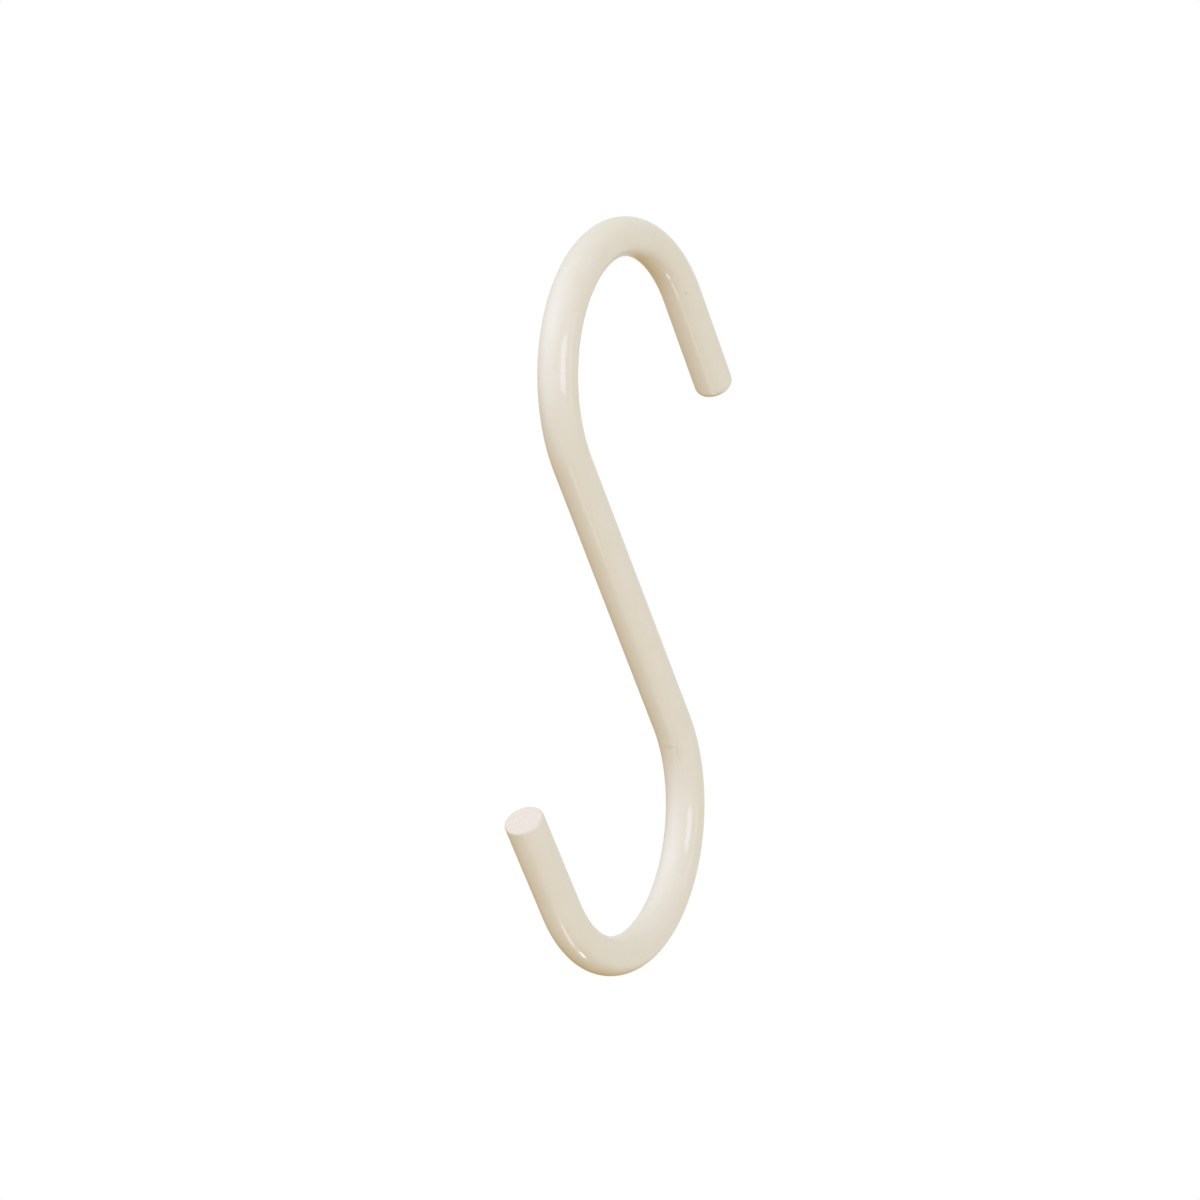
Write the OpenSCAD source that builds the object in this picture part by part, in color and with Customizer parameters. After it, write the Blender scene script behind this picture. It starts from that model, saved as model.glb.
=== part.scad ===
// S hook bent from one length of coated steel wire, in the pose in which it hangs.
//
// Z is up. The wire lies in the XZ plane, with the upper mouth towards +X and the lower
// mouth towards -X. A load settles in the lower bend straight below the rail, so both
// saddles lie on the Z axis, and the origin is where the rail touches the upper bend.
// Each bend is half a turn, so the legs run parallel to the shank.

/* [Wire] */
// Diameter of the wire with its coating
wire_d = 5; // [3.2:0.1:8]
// Straight length of the shank between the two bends
shank_len = 41.5; // [10:0.5:120]

/* [Upper hook] */
// Clear width of the upper mouth, which is the inside diameter of its bend
upper_mouth = 30.6; // [12:0.1:60]
// Straight length of the upper leg, from its bend to its tip
upper_leg = 15; // [4:0.5:30]
// Radius of the rounding round the upper tip, where the coating has run over the cut
upper_tip_r = 1.2; // [0.1:0.05:1.5]

/* [Lower hook] */
// Clear width of the lower mouth, which is the inside diameter of its bend
lower_mouth = 30.6; // [12:0.1:60]
// Straight length of the lower leg, from its bend to its tip
lower_leg = 15; // [4:0.5:30]
// Radius of the rounding round the lower tip, whose cut is covered more thinly
lower_tip_r = 0.35; // [0.1:0.05:1.5]

/* [Hidden] */
$fn = 96;

wire_r = wire_d / 2;

// Radius of a bend, measured to the middle of the wire.
function bend_r(mouth) = mouth / 2 + wire_r;

// The shank stands on the local Z axis, and the bends curl away from it to either side.
upper_centre = [bend_r(upper_mouth), 0, shank_len / 2];
lower_centre = [-bend_r(lower_mouth), 0, -shank_len / 2];

// The lean of the shank that puts one bend's centre straight above the other's.
centre_span = upper_centre - lower_centre;
shank_lean = atan2(centre_span.x, centre_span.z);

// Half a section through a leg, from the wire's axis out: a straight side, a rounded rim, a flat end.
module leg_section(length, tip_r) {
    square([wire_r, length - tip_r]);
    square([wire_r - tip_r, length]);
    intersection() {
        translate([wire_r - tip_r, length - tip_r]) circle(tip_r);
        square([wire_r, length]);
    }
}

// A leg that leaves the local origin along +Z and ends in its tip.
module leg(length, tip_r) {
    rotate_extrude() leg_section(length, tip_r);
}

// Half a turn of wire about the local Y axis, over the top.
module bend(mouth) {
    rotate([90, 0, 0]) rotate_extrude(angle = 180) translate([bend_r(mouth), 0]) circle(wire_r);
}

// One end of the hook: a bend that leaves the local origin along +Z, and its leg.
module hook_end(mouth, length, tip_r) {
    translate([bend_r(mouth), 0, 0]) {
        bend(mouth);
        translate([bend_r(mouth), 0, 0]) rotate([0, 180, 0]) leg(length, tip_r);
    }
}

// The whole wire, leaned until its saddles line up and moved until the rail's is at the origin.
module hook() {
    color("antiquewhite")
        translate([0, 0, -upper_mouth / 2]) rotate([0, -shank_lean, 0]) translate(-upper_centre) {
            cylinder(h = shank_len, r = wire_r, center = true);
            translate([0, 0, shank_len / 2]) hook_end(upper_mouth, upper_leg, upper_tip_r);
            rotate([0, 180, 0]) translate([0, 0, shank_len / 2])
                hook_end(lower_mouth, lower_leg, lower_tip_r);
        }
}

hook();
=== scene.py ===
# %% [markdown]
# # An s hook of coated wire
#
# The real thing is one length of round steel wire, bent into an S and covered with a glossy
# cream coating. The construction model fixes where it hangs and how big it is. This lesson
# puts a finished wire in its place, and then a camera, a floor and lamps around it.
#
# First the construction model is loaded as a frame.

# %% Load the construction model
import math

import bmesh
import bpy
from mathutils import Matrix, Vector


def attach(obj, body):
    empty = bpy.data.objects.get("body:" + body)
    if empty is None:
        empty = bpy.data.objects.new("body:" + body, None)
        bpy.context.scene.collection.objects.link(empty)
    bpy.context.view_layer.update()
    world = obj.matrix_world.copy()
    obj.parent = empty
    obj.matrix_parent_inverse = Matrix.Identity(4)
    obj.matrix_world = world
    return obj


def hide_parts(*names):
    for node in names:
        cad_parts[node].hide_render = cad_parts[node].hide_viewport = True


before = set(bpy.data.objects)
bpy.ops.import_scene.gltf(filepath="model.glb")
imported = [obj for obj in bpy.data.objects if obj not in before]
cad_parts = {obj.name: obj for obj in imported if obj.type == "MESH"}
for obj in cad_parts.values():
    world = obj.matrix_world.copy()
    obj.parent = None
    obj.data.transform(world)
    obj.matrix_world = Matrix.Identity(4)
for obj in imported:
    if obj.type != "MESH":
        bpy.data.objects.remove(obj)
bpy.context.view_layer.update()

# %% [markdown]
# ## Camera
#
# The hook was photographed level, from the side, with the wire's plane turned about 60 degrees
# away from square on. A camera can be placed by its three coordinates and three angles, but it
# is easier to read as a photographer would say it: what it looks at, from which side and how
# far. The lens is long for its sensor, so the hook's near and far ends differ little in size.
# Depth of field stays off, because the photograph is sharp all over.

# %% Place the camera
LOOKED_AT = Vector((-0.001425, 0.002535, -0.043210))
SIDE, HEIGHT, ROLL = (math.radians(a) for a in (-60.4988, -0.7693, 1.4537))
DISTANCE = 0.53023
LENS, SENSOR = 126.78, 36.0

towards_camera = Vector(
    (math.sin(SIDE) * math.cos(HEIGHT), -math.cos(SIDE) * math.cos(HEIGHT), math.sin(HEIGHT))
)
upright = (-towards_camera).to_track_quat("-Z", "Y").to_matrix().to_4x4()
camera_data = bpy.data.cameras.new("camera")
camera_data.lens, camera_data.sensor_width = LENS, SENSOR
camera_data.clip_start, camera_data.clip_end = 0.01, 20
camera = bpy.data.objects.new("camera", camera_data)
camera.matrix_world = (
    Matrix.Translation(LOOKED_AT + towards_camera * DISTANCE)
    @ upright
    @ Matrix.Rotation(ROLL, 4, "Z")
)
bpy.context.scene.collection.objects.link(camera)
bpy.context.scene.camera = camera
print("camera at", [round(c, 4) for c in camera.matrix_world.translation])

# %% [markdown]
# ## The wire
#
# The hook could be a curve with a round bevel, but a curve has no say in where its rings fall,
# and its ends are hard to round. Here it is made as it is in a workshop: a rim of wire is drawn
# out straight for the leg, spun round a former for the bend, drawn out for the shank, spun the
# other way, and drawn out again. All of it happens upright, with the shank on the Z axis. Next to
# each tip a longer piece stays clear of rings, so that the rounding of the rim meets none.

# %% Sizes of the wire
MM = 0.001
wire_r = 2.5 * MM
shank_len = 41.5 * MM
mouth = 30.6 * MM
leg_len = 15 * MM
upper_rim, lower_rim = 1.2 * MM, 0.35 * MM
bend_r = mouth / 2 + wire_r
end_run = shank_len / 2 + math.pi * bend_r + leg_len
AROUND, RING = 96, 0.5 * MM
UPPER_CLEAR = 1.5 * MM
LOWER_CLEAR, LOWER_FIRST = 0.7 * MM, 0.1 * MM
print(f"the wire is {2 * end_run / MM:.1f} mm long, bent to {bend_r / MM:.1f} mm")

# %% Two ways to work the wire
def draw_out(bm, rim, push, first=0.0):
    """Draws the rim out straight along Z. Its first ring can have a distance of its own."""
    cuts = round((abs(push) - first) / RING)
    steps = ([math.copysign(first, push)] if first else []) + [
        math.copysign(abs(push) - first, push) / cuts
    ] * cuts
    for step in steps:
        drawn = bmesh.ops.extrude_edge_only(bm, edges=rim)["geom"]
        ring = [v for v in drawn if isinstance(v, bmesh.types.BMVert)]
        bmesh.ops.translate(bm, verts=ring, vec=(0, 0, step))
        edges, on_ring = [e for e in drawn if isinstance(e, bmesh.types.BMEdge)], set(ring)
        rim = [e for e in edges if on_ring.issuperset(e.verts)]
    return rim


def bend_round(bm, rim, centre, turn):
    """Spins the rim half a turn about an axis along Y."""
    cuts = round(math.pi * bend_r / RING)
    ends = list(dict.fromkeys(v for e in rim for v in e.verts))
    spun = bmesh.ops.spin(
        bm, geom=ends + rim, cent=centre, axis=(0, 1, 0), dvec=(0, 0, 0),
        angle=turn * math.pi, space=Matrix.Identity(4), steps=cuts, use_duplicate=False,
    )["geom_last"]
    return [e for e in spun if isinstance(e, bmesh.types.BMEdge)]


print("the wire can be drawn out and bent")

# %% Form the hook
bm = bmesh.new()
tip = Vector((2 * bend_r, 0, shank_len / 2 - leg_len))
bmesh.ops.create_circle(
    bm, cap_ends=False, radius=wire_r, segments=AROUND, matrix=Matrix.Translation(tip)
)
rim = draw_out(bm, bm.edges[:], leg_len, first=UPPER_CLEAR)
rim = bend_round(bm, rim, (bend_r, 0, shank_len / 2), -1)
rim = draw_out(bm, rim, -shank_len)
rim = bend_round(bm, rim, (-bend_r, 0, -shank_len / 2), 1)
rim = draw_out(bm, rim, leg_len - LOWER_CLEAR)
rim = draw_out(bm, rim, LOWER_CLEAR, first=LOWER_FIRST)
bmesh.ops.remove_doubles(bm, verts=bm.verts, dist=1e-6)
print(len(bm.verts), "points,", len(bm.faces), "faces, open at both ends")

# %% [markdown]
# ## The tips
#
# The wire was cropped square, and the coating ran over the cut. At the lower tip it is thin, so
# the rim is nearly sharp. At the upper tip it stands thicker and rounds the rim. Each end is
# closed with one face, its rim is bevelled with a round profile, and the face is inset twice, so
# that the flat stays flat under smooth shading.

# %% Close and round the tips
ROUND_STEPS, INSETS = 8, (0.05 * MM, 0.25 * MM)
bmesh.ops.holes_fill(bm, edges=[e for e in bm.edges if e.is_boundary], sides=0)
bmesh.ops.recalc_face_normals(bm, faces=bm.faces)
for cap in [f for f in bm.faces if len(f.verts) == AROUND]:
    offset = upper_rim if cap.calc_center_median().x > 0 else lower_rim
    bmesh.ops.bevel(
        bm, geom=list(cap.edges) + list(cap.verts), offset=offset, offset_type="OFFSET",
        segments=ROUND_STEPS, profile=0.5, affect="EDGES", clamp_overlap=True, material=-1,
    )
for cap in [f for f in bm.faces if len(f.verts) == AROUND]:
    for thickness in INSETS:
        bmesh.ops.inset_region(bm, faces=[cap], thickness=thickness, use_even_offset=True)
    bmesh.ops.poke(bm, faces=[cap])
bmesh.ops.remove_doubles(bm, verts=bm.verts, dist=1e-7)
bmesh.ops.recalc_face_normals(bm, faces=bm.faces)
print("open edges left:", sum(not e.is_manifold for e in bm.edges))

# %% [markdown]
# ## A fixed order
#
# The mesh tools list new faces in an order that changes from run to run. It can't be seen, but
# the file of the mesh would differ each time, so points, edges and faces are put in order here.

# %% Put the mesh in order
def settle(elements, key):
    """Puts points, edges or faces in the order of their keys."""
    order = {e: n for n, e in enumerate(sorted(elements, key=key))}
    elements.sort(key=order.get)
    elements.index_update()


settle(bm.verts, lambda v: v.co[:])
settle(bm.edges, lambda e: sorted(v.index for v in e.verts))
settle(bm.faces, lambda f: sorted(v.index for v in f.verts))
print(len(bm.verts), "points and", len(bm.faces), "faces in order")

# %% [markdown]
# ## A map along the wire
#
# The marks of drawing and coating run along the wire and turn with its bends, so a pattern on
# the object's own X, Y and Z would cut across them. Before the hook is hung, each point notes
# where it would lie if the wire were straightened again: how far out of the middle, how far to
# the side, and how far along. A UV map could hold two of the three, but would have a seam.

# %% Note where each point lies on the straight wire
def on_straight_wire(p):
    """Where a point of the upright hook lies on the straight wire."""
    half = shank_len / 2
    end = 1 if (p.z > half or p.x > bend_r) else -1 if (p.z < -half or p.x < -bend_r) else 0
    if end == 0:
        return p.copy()
    x, z = end * p.x, end * p.z
    if z > half:
        out = bend_r - math.hypot(x - bend_r, z - half)
        run = half + bend_r * math.atan2(z - half, bend_r - x)
    else:
        out = 2 * bend_r - x
        run = half + math.pi * bend_r + half - z
    return Vector((end * out, p.y, end * run))


straight = bm.verts.layers.float_vector.new("straight_wire")
for v in bm.verts:
    v[straight] = on_straight_wire(v.co)
print("runs", [round(f(v[straight].z for v in bm.verts) / MM, 1) for f in (min, max)], "mm")

# %% [markdown]
# ## Hanging it up
#
# The hook hangs with its two saddles one above the other, so the shank leans. The lean follows
# from the shank and the bends. The finished mesh is turned and moved as a whole, so its object
# stays at the origin, and it stands for the construction model's wire from here on.

# %% Hang the hook
lean = math.atan2(2 * bend_r, shank_len)
hang = (
    Matrix.Translation((0, 0, -mouth / 2))
    @ Matrix.Rotation(-lean, 4, "Y")
    @ Matrix.Translation((-bend_r, 0, -shank_len / 2))
)
bmesh.ops.transform(bm, matrix=hang, verts=bm.verts)
for face in bm.faces:
    face.smooth = True
mesh = bpy.data.meshes.new("bent_wire")
bm.to_mesh(mesh)
bm.free()
wire = bpy.data.objects.new("bent_wire", mesh)
bpy.context.scene.collection.objects.link(wire)
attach(wire, "root")
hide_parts("hook")
print(f"leaning {math.degrees(lean):.2f} degrees, {len(mesh.polygons)} faces")

# %% [markdown]
# ## Writing a material as sums
#
# A material is a graph of nodes, and long graphs are hard to read as code. This small class
# wraps a node's output, so that plain sums and products of outputs add the Math nodes
# themselves. Every other node comes from its one method.

# %% A socket that can be added and multiplied
class Look:
    """One output of a node, which can be used in sums."""

    def __init__(self, socket):
        self.socket, self.tree = socket, socket.id_data

    def node(self, kind, settings=(), sockets=(), output=0):
        """Adds a node with its settings and its inputs, and gives one of its outputs."""
        made = self.tree.nodes.new(kind)
        for name, value in dict(settings).items():
            setattr(made, name, value)
        for name, value in dict(sockets).items():
            if isinstance(value, Look):
                self.tree.links.new(value.socket, made.inputs[name])
            else:
                made.inputs[name].default_value = value
        return Look(made.outputs[output])

    def maths(self, operation, a, b=0.0):
        return self.node("ShaderNodeMath", {"operation": operation}, {0: a, 1: b})

    def __add__(self, other):
        return self.maths("ADD", self, other)

    def __radd__(self, other):
        return self.maths("ADD", other, self)

    def __sub__(self, other):
        return self.maths("SUBTRACT", self, other)

    def __rsub__(self, other):
        return self.maths("SUBTRACT", other, self)

    def __mul__(self, other):
        return self.maths("MULTIPLY", self, other)

    def __rmul__(self, other):
        return self.maths("MULTIPLY", other, self)

    def __abs__(self):
        return self.maths("ABSOLUTE", self)

    def step(self, start, end):
        """0 before the start, 1 past the end, and a soft rise between."""
        return self.node(
            "ShaderNodeMapRange", {"interpolation_type": "SMOOTHSTEP"},
            {"Value": self, "From Min": start, "From Max": end},
        )

    def blend(self, first, second):
        """Goes from the first colour to the second as this goes from 0 to 1."""
        return self.node(
            "ShaderNodeMix", {"data_type": "RGBA", "clamp_factor": True},
            {"Factor": self, 6: first, 7: second}, output=2,
        )


print("sums can be written")

# %% [markdown]
# ## Cream coating
#
# The coating is a thick glossy enamel, a little uneven. Three things show it in the light: long
# faint ridges that follow the wire, a slow ripple across it, and a fine orange peel. Each could
# be cut into the mesh, but they are hundredths of a millimetre high at most, so a bump does it.
# The colour is cream with faint mottling, and there are a few specks of dust under the gloss.

# %% Start the coating
CREAM = (0.73, 0.66, 0.55, 1)
CREAM_DEEP = (0.715, 0.65, 0.52, 1)
CUT_CREAM = (0.755, 0.672, 0.572, 1)
CUT_GRAIN = (0.71, 0.625, 0.525, 1)
# The dark of the dust specks, also used for the painted shade in the pock.
DUST_AND_SHADE = (0.30, 0.25, 0.17, 1)

coating = bpy.data.materials.new("cream_coating")
coating.use_nodes = True
tree = coating.node_tree
shader = tree.nodes["Principled BSDF"]
place = tree.nodes.new("ShaderNodeAttribute")
place.attribute_type, place.attribute_name = "GEOMETRY", "straight_wire"
place = Look(place.outputs["Vector"])
mesh.materials.append(coating)


def grain(along, across, detail=2.0, roughness=0.5):
    """Noise on the straight wire, with so many waves per millimetre along it and across it."""
    stretched = place.node(
        "ShaderNodeVectorMath", {"operation": "MULTIPLY"},
        {0: place, 1: (across / MM, across / MM, along / MM)},
    )
    return place.node(
        "ShaderNodeTexNoise", {"noise_dimensions": "3D"},
        {"Vector": stretched, "Scale": 1.0, "Detail": detail, "Roughness": roughness}, "Fac",
    )


def spot(out, side, run, size, stretch=1.0):
    """1 at a place on the straight wire and 0 past its size, both in millimetres."""
    offset = place.node(
        "ShaderNodeVectorMath", {"operation": "SUBTRACT"},
        {0: place, 1: (out * MM, side * MM, run * MM)},
    )
    offset = offset.node(
        "ShaderNodeVectorMath", {"operation": "MULTIPLY"}, {0: offset, 1: (1, 1, 1 / stretch)}
    )
    far = offset.node("ShaderNodeVectorMath", {"operation": "LENGTH"}, {0: offset}, "Value")
    return 1.0 - far.step(0.3 * size * MM, size * MM)


print("patterns follow", place.socket.node.attribute_name)

# %% [markdown]
# ### Height
#
# The ridges are long and lie side by side, and split the soft highlights into stripes. The
# ripple has crests two millimetres apart across the wire, and the peel is finest. Any of them
# that is too high breaks a fine light line into beads, so the last two stay under a hundredth
# of a millimetre. The cut at each tip was not ground smooth, so it gets a grain of its own. The
# coating has also gathered in a small drip at the lower rim and in a thin run at the start of
# the lower bend, beside a shallow pock.

# %% Raise the coating
run = place.node("ShaderNodeSeparateXYZ", {}, {0: place}, "Z")
cut = abs(run).step(end_run - 0.12 * MM, end_run - 0.02 * MM)
ridges, ripple, peel = grain(0.02, 0.6, 1.0), grain(0.5, 0.15, 1.0), grain(1.6, 1.6, 2.0)
cut_grain = grain(3.0, 3.0, 3.0, 0.6)
drip = spot(-2.2, -1.0, -90.0, 0.5, 1.8)
pock = spot(-2.5, 0.06, -23.2, 1.3, 0.4)
thin_run = spot(-2.2, -1.2, -23.8, 0.35, 8.0)
height = 0.045 * ridges + 0.006 * ripple + 0.0015 * peel + 0.05 * cut * cut_grain
height = height + 0.02 * drip + 0.08 * thin_run - 0.008 * pock
bump = place.node("ShaderNodeBump", {}, {"Height": height, "Distance": MM, "Strength": 1.0})
tree.links.new(bump.socket, shader.inputs["Normal"])
print("heights are in millimetres, and the bump's distance is", MM * 1000, "mm")

# %% [markdown]
# ### Colour and gloss
#
# The cream varies a little in warmth from patch to patch, is paler and grainy on the cut, where
# it is thinner, and has a few specks of dust under the gloss. One larger speck sits on the upper
# leg. The pock is painted a little darker towards the dust's colour, as painted shade in the dent.
# Most of the surface has a satin body colour under a clear glossy skin, which is why a lamp
# shows both a wide soft glow and a fine sharp line.

# %% Colour the coating
speck_field = place.node(
    "ShaderNodeTexVoronoi", {"feature": "F1", "distance": "EUCLIDEAN"},
    {"Vector": place, "Scale": 0.16 / MM, "Randomness": 1.0}, "Distance",
)
specks = (1.0 - speck_field.step(0.010, 0.022)) * 0.35
leg_speck = spot(1.68, -1.85, 74.9, 0.2)
dust = specks + 0.55 * leg_speck
colour = grain(0.22, 0.3, 3.0, 0.6).step(0.35, 0.68).blend(CREAM, CREAM_DEEP)
cut_colour = grain(2.5, 2.5, 3.0, 0.7).step(0.35, 0.65).blend(CUT_CREAM, CUT_GRAIN)
colour = dust.blend(cut.blend(colour, cut_colour), DUST_AND_SHADE)
# Painted shade: the pock's colour is pulled a tenth of the way towards the dark dust colour.
colour = (0.1 * pock).blend(colour, DUST_AND_SHADE)
tree.links.new(colour.socket, shader.inputs["Base Color"])
satin = 0.30 + 0.10 * grain(0.5, 0.5) + 0.25 * cut
tree.links.new(satin.socket, shader.inputs["Roughness"])
tree.links.new((0.8 - 0.6 * cut).socket, shader.inputs["Coat Weight"])
shader.inputs["Coat Roughness"].default_value = 0.08
shader.inputs["IOR"].default_value = 1.5
print(len(tree.nodes), "nodes in the coating")

# %% [markdown]
# ## Floor and background
#
# A hook hangs, so the floor is well below it. It is a plain pale sheet that gives the hook no
# light of its own, so that the room's colour alone decides how the hook is lit from below. The
# photograph's white is what the camera alone sees in the floor and in the world.

# %% Lay the floor
FLOOR_DROP, FLOOR_RADIUS = 0.62, 1.5
bm = bmesh.new()
bmesh.ops.create_circle(
    bm, cap_ends=True, radius=FLOOR_RADIUS, segments=64,
    matrix=Matrix.Translation((0, 0, -FLOOR_DROP)),
)
floor_mesh = bpy.data.meshes.new("floor")
bm.to_mesh(floor_mesh)
bm.free()
floor = bpy.data.objects.new("floor", floor_mesh)
bpy.context.scene.collection.objects.link(floor)
floor.visible_diffuse = floor.visible_glossy = False
paper = bpy.data.materials.new("floor_paper")
paper.use_nodes = True
seen = Look(paper.node_tree.nodes.new("ShaderNodeLightPath").outputs["Is Camera Ray"])
sheet = paper.node_tree.nodes["Principled BSDF"]
sheet.inputs["Base Color"].default_value = (0.75, 0.72, 0.67, 1)
sheet.inputs["Roughness"].default_value = 0.8
sheet.inputs["Emission Color"].default_value = (1, 1, 1, 1)
paper.node_tree.links.new((0.6 * seen).socket, sheet.inputs["Emission Strength"])
floor_mesh.materials.append(paper)
print("floor", round(-floor_mesh.vertices[0].co.z * 1000), "mm below the rail")

# %% Make the background white
world = bpy.data.worlds.new("studio")
bpy.context.scene.world = world
world.use_nodes = True
air = world.node_tree
seen = Look(air.nodes.new("ShaderNodeLightPath").outputs["Is Camera Ray"])
room = air.nodes["Background"]
backdrop = seen.node("ShaderNodeBackground", {}, {"Color": (1, 1, 1, 1), "Strength": 1.0})
both = seen.node("ShaderNodeMixShader", {}, {0: seen, 1: Look(room.outputs[0]), 2: backdrop})
air.links.new(both.socket, air.nodes["World Output"].inputs["Surface"])
print("the camera sees white behind the hook")

# %% [markdown]
# ## The light of the room
#
# The photograph shows a room that is bright and a little cool at the upper left, as by a window,
# and dim and warm below and behind the hook, which gives the olive shade along the lower left of
# the wire and inside the upper bend. One plain colour all round would light all sides the same.
# So the room's own colour goes over into the window's in a broad lobe, strongest in one
# direction and gone at a right angle to it, and into the dim corner's across a softer edge.
# Directions are given as the camera sees them: right, up and towards it.

# %% Light the room
ROOM = (0.83, 0.82, 0.75, 1)
WINDOW_SIDE = (1.6, 1.73, 2.1, 1)
DIM_CORNER = (0.42, 0.27, 0.03, 1)
WINDOW_FALL, DIM_EDGE = 3.0, (0.4, 0.8)


def as_seen(right, up, near):
    """A direction given as the camera sees it, in the frame's own axes."""
    return (camera.matrix_world.to_3x3() @ Vector((right, up, near))).normalized()


def facing(right, up, near):
    """1 in one direction, 0 at a right angle to it and -1 behind."""
    outwards = Look(air.nodes.new("ShaderNodeTexCoord").outputs["Generated"])
    return outwards.node(
        "ShaderNodeVectorMath", {"operation": "DOT_PRODUCT"},
        {0: outwards, 1: as_seen(right, up, near)}, "Value",
    )


window = facing(-0.75, 0.5, 0.4)
window = window.maths("POWER", window.maths("MAXIMUM", window, 0.0), WINDOW_FALL)
dim = facing(-0.35, -0.81, -0.47).step(*DIM_EDGE)
lit = dim.blend(window.blend(ROOM, WINDOW_SIDE), DIM_CORNER)
air.links.new(lit.socket, room.inputs["Color"])
room.inputs["Strength"].default_value = 1.0
print(len(air.nodes), "nodes in the studio's light")

# %% [markdown]
# ## Lamps
#
# The broad highlight along the upper left of each bend is the window. The others come from
# lamps, and each tells where its lamp stood, because a glossy surface faces halfway between the
# lamp and the camera where it shines. A soft box beside the camera gives the glow down the
# middle of the bends, and a tall strip far to the right gives the narrow streak beside it. From
# below come a strip with a small lamp at its end, seen on each bend as a fine line with a bright
# head, and a weaker piece that carries the line on along the upper leg and the shank. The strip
# is some centimetres wide, because a thinner one shows as a row of beads.

# %% Set up the lamps
def hang_lamp(name, where, long, size, power, tint=(1, 1, 1), distance=0.9):
    """An oblong soft lamp, aimed at the hook. Where it is and which way it is long are as seen."""
    away, side = as_seen(*where), as_seen(*long)
    across = side.cross(away).normalized()
    turn = Matrix((across, away.cross(across), away)).transposed().to_4x4()
    data = bpy.data.lights.new(name, "AREA")
    data.shape, data.size, data.size_y = "RECTANGLE", *size
    data.energy, data.color = power, tint
    lamp = bpy.data.objects.new(name, data)
    lamp.matrix_world = Matrix.Translation(LOOKED_AT + away * distance) @ turn
    lamp.visible_camera = False
    bpy.context.scene.collection.objects.link(lamp)
    return lamp


hang_lamp("side_box", (0.48, 0.12, 0.87), (0, 1, 0), (0.45, 0.45), 1.3, (0.95, 1.03, 1.48))
hang_lamp("right_strip", (0.95, 0.1, 0.27), (0, 1, 0), (0.2, 0.4), 0.19, (0.83, 1.04, 1.22))
hang_lamp("low_strip", (0.05, -0.99, 0.08), (-0.4, 0, 1), (0.085, 0.2), 0.16, distance=0.55)
hang_lamp("low_end", (-0.04, -0.92, 0.405), (-0.4, 0, 1), (0.05, 0.1), 0.036, distance=0.58)
hang_lamp("low_lamp", (0.21, -0.95, -0.2), (0, 0, 1), (0.075, 0.07), 0.09, (0.95, 1, 1.3), 0.55)
bpy.context.scene.view_settings.view_transform = "Standard"
print("lamps are up")
